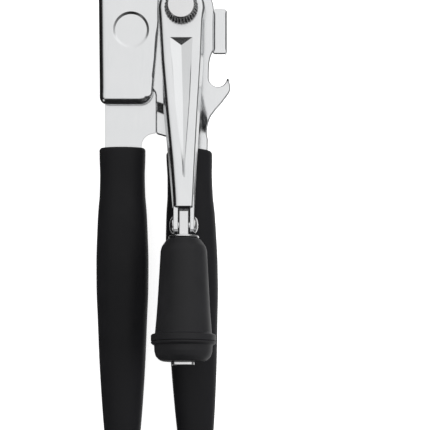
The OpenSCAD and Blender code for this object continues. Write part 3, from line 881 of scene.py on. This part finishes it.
def make_grip(name, body, x, y, lean, crown, node):
    """A grip; crown is how far the sides of its top lie below the middle."""
    sides, top_round, end_round, tip, fullness = 72, 1.3, 6.0, 0.04, 0.85
    places = [0.0, 0.04, 0.14, 0.3, 0.5, 0.75, 1.0, top_round, 2.0]
    places += steps(3.0, GRIP_LONG - end_round, 70)
    places += [GRIP_LONG - end_round * (1 - math.sin(t)) for t in steps(0.12, math.pi / 2, 12)]
    bm = bmesh.new()
    rows = []
    for d in places:
        w, t = HALF_W * flowing(WIDTHS, d), HALF_T * flowing(THICKS, d)
        pull = 0.0
        if d < top_round:
            pull = top_round - math.sqrt(top_round ** 2 - (top_round - d) ** 2)
        share = 1.0
        if d > GRIP_LONG - end_round:
            gone = (d - GRIP_LONG + end_round) / end_round
            share = math.sqrt(max(0.0, 1 - gone ** 2)) * (1 - tip) + tip
        w, t = (w - pull) * share, (t - pull) * share
        row = []
        for i in range(sides):
            a = 2 * math.pi * i / sides
            c, q = math.cos(a), math.sin(a)
            wide = w * math.copysign(abs(c) ** fullness, c)
            drop = crown * (wide / HALF_W) ** 2 * (1 - smooth(d / 12))
            row.append(bm.verts.new((wide, -d - drop, t * math.copysign(abs(q) ** fullness, q))))
        rows.append(row)
    for first, second in zip(rows, rows[1:]):
        strip(bm, first, second, closed=True)
    bm.faces.new(rows[0])
    bm.faces.new(rows[-1])
    place = Matrix.Translation((x, y, MID_Z)) @ Matrix.Rotation(lean, 4, "Z")
    bmesh.ops.transform(bm, matrix=place, verts=bm.verts)
    publish(bm, name, body, SOFT, (node,), sharp=60)


make_grip("left_grip_soft", "left_arm", LEFT_GRIP_X, GRIP_TOP_Y, 0, 0.3, "left_grip")
make_grip("right_grip_soft", "right_arm", RIGHT_GRIP_X, RIGHT_GRIP_TOP_Y, GRIP_LEAN, 1.7,
          "right_grip")

# ---------------------------------------------------------------- the works behind the arms

for node, body, finish, bevel in (
        ("pivot_rivet", "left_arm", TURNED, 0.3), ("pivot_washer", "left_arm", TURNED, 0.1),
        ("cutter_stud", "left_arm", TURNED, 0.3), ("cutter_washer", "left_arm", TURNED, 0.1),
        ("cutter_gear", "cutter", HARDENED, 0.1), ("cutter_wheel", "cutter", HARDENED, 0.08),
        ("drive_bushing", "right_arm", TURNED, 0.2), ("drive_shaft", "drive", TURNED, 0.2),
        ("drive_gear", "drive", HARDENED, 0.1), ("feed_wheel", "drive", HARDENED, 0.1),
        ("feed_nut", "drive", TURNED, 0.25), ("crank_spacer", "drive", TURNED, 0.2)):
    refine(node, body, finish, bevel)

# ---------------------------------------------------------------- stage, light and camera


def make_stage():
    """A plain pale floor, which the reflections leave out."""
    bm = bmesh.new()
    half = 3.0
    bm.faces.new([bm.verts.new((x, y, 0)) for x, y in ((-half, -half), (half, -half),
                                                      (half, half), (-half, half))])
    mesh = bpy.data.meshes.new("studio_floor")
    bm.to_mesh(mesh)
    bm.free()
    floor = add_object("studio_floor", mesh)
    material = bpy.data.materials.new("studio_white")
    material.use_nodes = True
    shader = material.node_tree.nodes["Principled BSDF"]
    shader.inputs["Base Color"].default_value = (0.9, 0.9, 0.9, 1)
    shader.inputs["Roughness"].default_value = 0.9
    shader.inputs["Specular IOR Level"].default_value = 0.0
    shader.inputs["Emission Color"].default_value = (1, 1, 1, 1)
    shader.inputs["Emission Strength"].default_value = 0.85
    mesh.materials.append(material)
    floor.visible_glossy = False


make_stage()


def make_world():
    """A soft light from overhead and from the +Y side, four panels on the diagonals, a weak light
    from below, and dark surroundings elsewhere. The camera sees a plain pale background."""
    world = bpy.data.worlds.new("studio")
    scene.world = world
    world.use_nodes = True
    tree = world.node_tree
    link = tree.links.new
    back = tree.nodes["Background"]

    def ramp(value, from_min, from_max, to_min, to_max):
        node = tree.nodes.new("ShaderNodeMapRange")
        node.interpolation_type = "SMOOTHSTEP"
        for key, number in (("From Min", from_min), ("From Max", from_max), ("To Min", to_min),
                            ("To Max", to_max)):
            node.inputs[key].default_value = number
        link(value, node.inputs["Value"])
        return node.outputs["Result"]

    def join(kind, first, second):
        node = tree.nodes.new("ShaderNodeMath")
        node.operation = kind
        link(first, node.inputs[0])
        link(second, node.inputs[1])
        return node.outputs["Value"]

    place = tree.nodes.new("ShaderNodeTexCoord")
    split = tree.nodes.new("ShaderNodeSeparateXYZ")
    link(place.outputs["Generated"], split.inputs["Vector"])
    flat = tree.nodes.new("ShaderNodeVectorMath")
    flat.operation = "MULTIPLY"
    flat.inputs[1].default_value = (1, 1, 0)
    link(place.outputs["Generated"], flat.inputs[0])
    unit = tree.nodes.new("ShaderNodeVectorMath")
    unit.operation = "NORMALIZE"
    link(flat.outputs["Vector"], unit.inputs[0])
    around = tree.nodes.new("ShaderNodeSeparateXYZ")
    link(unit.outputs["Vector"], around.inputs["Vector"])
    # how high the light's lower edge stands, by direction from -Y over X to +Y
    shift = tree.nodes.new("ShaderNodeMapRange")
    shift.inputs["From Min"].default_value = -1
    shift.inputs["From Max"].default_value = 1
    link(around.outputs["Y"], shift.inputs["Value"])
    brim = tree.nodes.new("ShaderNodeValToRGB")
    brim.color_ramp.interpolation = "LINEAR"
    stops = brim.color_ramp.elements
    levels = [(0.0, 0.965), (0.5, 0.72), (0.7, 0.6), (0.82, 0.4), (1.0, 0.0)]
    for position, level in levels[1:-1]:
        stops.new(position)
    for stop, (position, level) in zip(stops, levels):
        stop.position = position
        stop.color = (level, level, level, 1)
    link(shift.outputs["Result"], brim.inputs["Fac"])
    height = join("SUBTRACT", split.outputs["Z"], brim.outputs["Color"])
    softness = ramp(around.outputs["Y"], -1.0, 0.0, 0.03, 0.2)
    over = ramp(join("DIVIDE", height, softness), -1.0, 1.0, 0.0, 1.0)
    over = join("MULTIPLY", over, ramp(split.outputs["X"], -0.75, 0.75, 0.84, 1.12))
    low = ramp(around.outputs["X"], -0.2, 1.0, 0.01, 0.14)
    # the light from below reaches higher on the +X side, and is weaker on the -X side
    deep = join("SUBTRACT", split.outputs["Z"], ramp(split.outputs["X"], 0.1, 0.6, 0.0, 0.25))
    under = join("MULTIPLY", ramp(deep, -0.75, -0.92, 0.0, 1.0),
                 ramp(split.outputs["X"], -0.4, 0.4, 0.5, 0.95))
    # four broad panels on the diagonals, for the other sides of the object
    product = join("MULTIPLY", around.outputs["X"], around.outputs["Y"])
    across = join("MULTIPLY", product, product)
    panels = join("MULTIPLY", ramp(across, 0.19, 0.246, 0.0, 0.85),
                  join("MULTIPLY", ramp(split.outputs["Z"], 0.0, 0.15, 0.0, 1.0),
                       ramp(split.outputs["Z"], 0.5, 0.7, 1.0, 0.0)))
    around_all = join("MAXIMUM", join("MAXIMUM", over, low), join("MAXIMUM", under, panels))
    rays = tree.nodes.new("ShaderNodeLightPath")
    link(join("MAXIMUM", around_all, rays.outputs["Is Camera Ray"]), back.inputs["Strength"])
    back.inputs["Color"].default_value = (1, 1, 1, 1)


make_world()


def make_fill(name, place, energy):
    """A wide soft light that lifts the black surfaces."""
    data = bpy.data.lights.new(name, "AREA")
    data.shape = "SQUARE"
    data.size = 0.8
    data.energy = energy
    fill = add_object(name, data)
    fill.location = place
    fill.rotation_euler = Vector(place).to_track_quat("Z", "Y").to_euler()
    fill.visible_glossy = False


make_fill("fill_right", (1.1, 0.1, 0.55), 12.0)
make_fill("fill_left", (-1.2, 0.1, 0.25), 4.0)

# square to the arms; metres, and a lens length in mm for the 36 mm sensor
CAMERA_AWAY = 0.5
camera_data = bpy.data.cameras.new("camera")
camera_data.sensor_width = 36
camera_data.lens = 96.3
camera_data.clip_start = 0.01
camera_data.clip_end = 20
camera = add_object("camera", camera_data)
camera.location = (0.0224, 0.0006, MID_Z * MM + CAMERA_AWAY)
camera.rotation_euler = (0, 0, 0)
scene.camera = camera
scene.view_settings.view_transform = "Standard"
